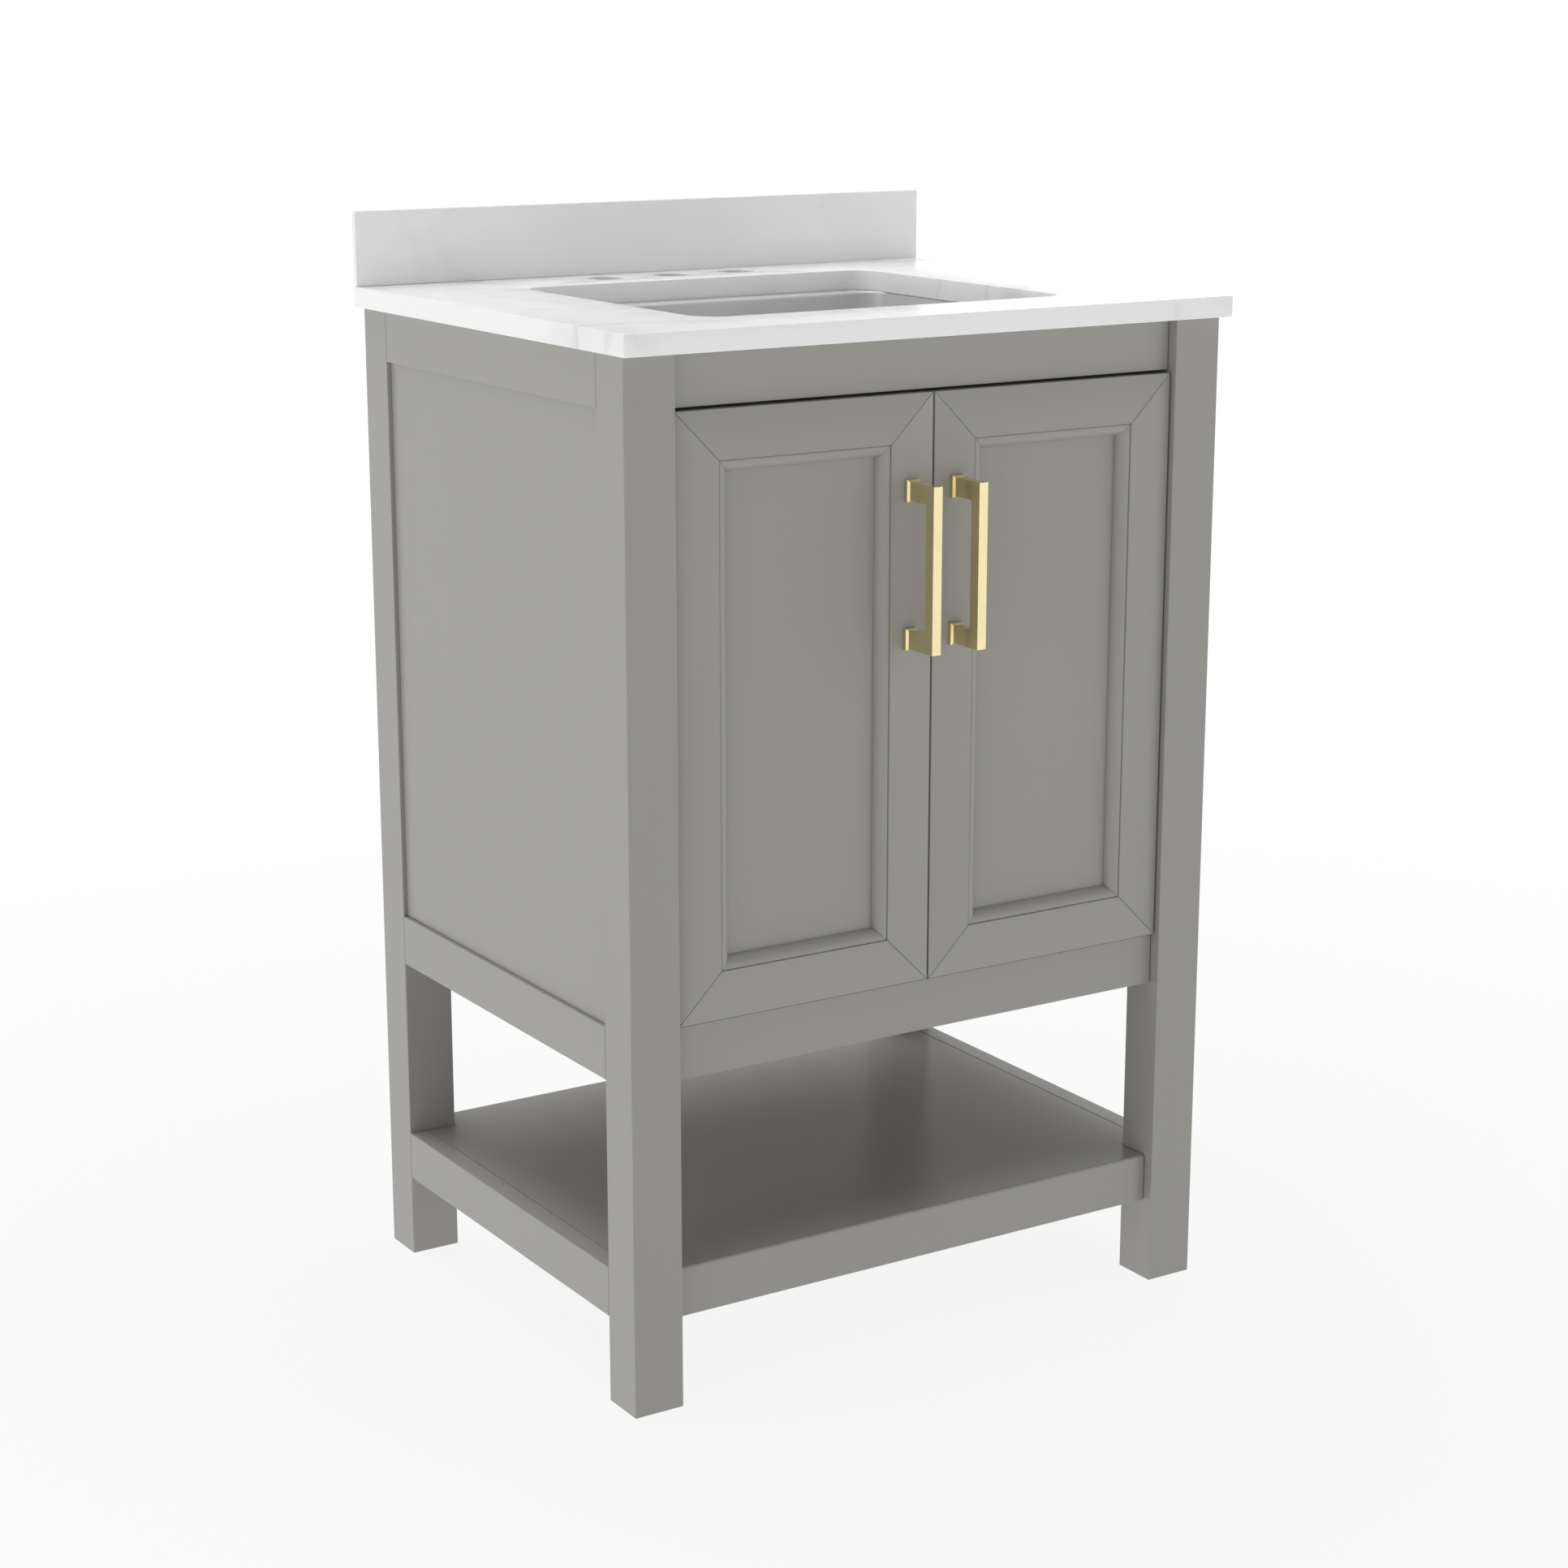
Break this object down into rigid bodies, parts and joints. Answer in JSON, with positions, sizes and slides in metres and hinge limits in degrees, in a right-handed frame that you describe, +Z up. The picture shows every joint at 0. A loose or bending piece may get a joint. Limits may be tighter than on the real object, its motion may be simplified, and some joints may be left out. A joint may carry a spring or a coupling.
{
  "type": "bathroom vanity cabinet",
  "caption": "Free-standing bathroom vanity on square posts with inset framed doors, an open lower shelf, stone top, backsplash and undermounted basin.",
  "frame": {"origin": "on the floor, at the middle of the whole object's width and depth", "axes": "+Z up from the floor; the doors and pulls face -Y; +X to the right seen from the front"},
  "size_m": [0.6106, 0.5156, 0.9814],
  "materials": {
    "painted_wood": "satin warm grey paint",
    "interior_board": "flat warm grey lacquer",
    "engineered_stone": "polished white with faint grey veins",
    "glazed_basin": "glossy white glaze",
    "brushed_brass": "brushed satin",
    "hinge_steel": "nickel plated",
    "zinc_screw": "zinc plated",
    "clear_rubber": "soft translucent"
  },
  "bodies": {
    "cabinet": {"back_panel": "interior_board", "backsplash": "engineered_stone", "cabinet_floor": "interior_board", "countertop": "engineered_stone", "door_stop_rail": "interior_board", "front_bottom_rail": "painted_wood", "front_left_leg": "painted_wood", "front_right_leg": "painted_wood", "front_top_rail": "painted_wood", "left_door_bumper": "clear_rubber", "left_hinge_strip": "interior_board", "left_lower_hinge_arm": "hinge_steel", "left_side_bottom_rail": "painted_wood", "left_side_panel": "painted_wood", "left_side_shelf_rail": "painted_wood", "left_side_top_rail": "painted_wood", "left_upper_hinge_arm": "hinge_steel", "rear_bottom_rail": "painted_wood", "rear_left_leg": "painted_wood", "rear_right_leg": "painted_wood", "rear_top_rail": "painted_wood", "right_door_bumper": "clear_rubber", "right_hinge_strip": "interior_board", "right_lower_hinge_arm": "hinge_steel", "right_side_bottom_rail": "painted_wood", "right_side_panel": "painted_wood", "right_side_shelf_rail": "painted_wood", "right_side_top_rail": "painted_wood", "right_upper_hinge_arm": "hinge_steel", "shelf": "painted_wood", "sink_basin": "glazed_basin"},
    "left_door": {"left_door_bottom_rail": "painted_wood", "left_door_hinge_stile": "painted_wood", "left_door_lock_stile": "painted_wood", "left_door_panel": "painted_wood", "left_door_top_rail": "painted_wood", "left_lower_hinge_cup": "hinge_steel", "left_pull_bar": "brushed_brass", "left_pull_lower_foot": "brushed_brass", "left_pull_lower_screw": "zinc_screw", "left_pull_upper_foot": "brushed_brass", "left_pull_upper_screw": "zinc_screw", "left_upper_hinge_cup": "hinge_steel"},
    "right_door": {"right_door_bottom_rail": "painted_wood", "right_door_hinge_stile": "painted_wood", "right_door_lock_stile": "painted_wood", "right_door_panel": "painted_wood", "right_door_top_rail": "painted_wood", "right_lower_hinge_cup": "hinge_steel", "right_pull_bar": "brushed_brass", "right_pull_lower_foot": "brushed_brass", "right_pull_lower_screw": "zinc_screw", "right_pull_upper_foot": "brushed_brass", "right_pull_upper_screw": "zinc_screw", "right_upper_hinge_cup": "hinge_steel"},
    "left_hinge_links": {"left_lower_hinge_link": "hinge_steel", "left_upper_hinge_link": "hinge_steel"},
    "right_hinge_links": {"right_lower_hinge_link": "hinge_steel", "right_upper_hinge_link": "hinge_steel"}
  },
  "joints": [
    {"name": "left_door_hinge", "type": "hinge", "parent": "cabinet", "child": "left_door", "pos_m": [-0.251, -0.21745, 0.5931], "axis": [0, 0, -1], "range_deg": [0, 100]},
    {"name": "right_door_hinge", "type": "hinge", "parent": "cabinet", "child": "right_door", "pos_m": [0.251, -0.21745, 0.5931], "axis": [0, 0, 1], "range_deg": [0, 100]},
    {"name": "left_hinge_link_swing", "type": "hinge", "parent": "left_door", "child": "left_hinge_links", "pos_m": [-0.241, -0.20425, 0.5931], "axis": [0, 0, 1], "range_deg": [0, 100]},
    {"name": "right_hinge_link_swing", "type": "hinge", "parent": "right_door", "child": "right_hinge_links", "pos_m": [0.241, -0.20425, 0.5931], "axis": [0, 0, -1], "range_deg": [0, 100]}
  ],
  "couplings": [
    {"joint": "left_hinge_link_swing", "follows": "left_door_hinge", "ratio": 1},
    {"joint": "right_hinge_link_swing", "follows": "right_door_hinge", "ratio": 1}
  ]
}
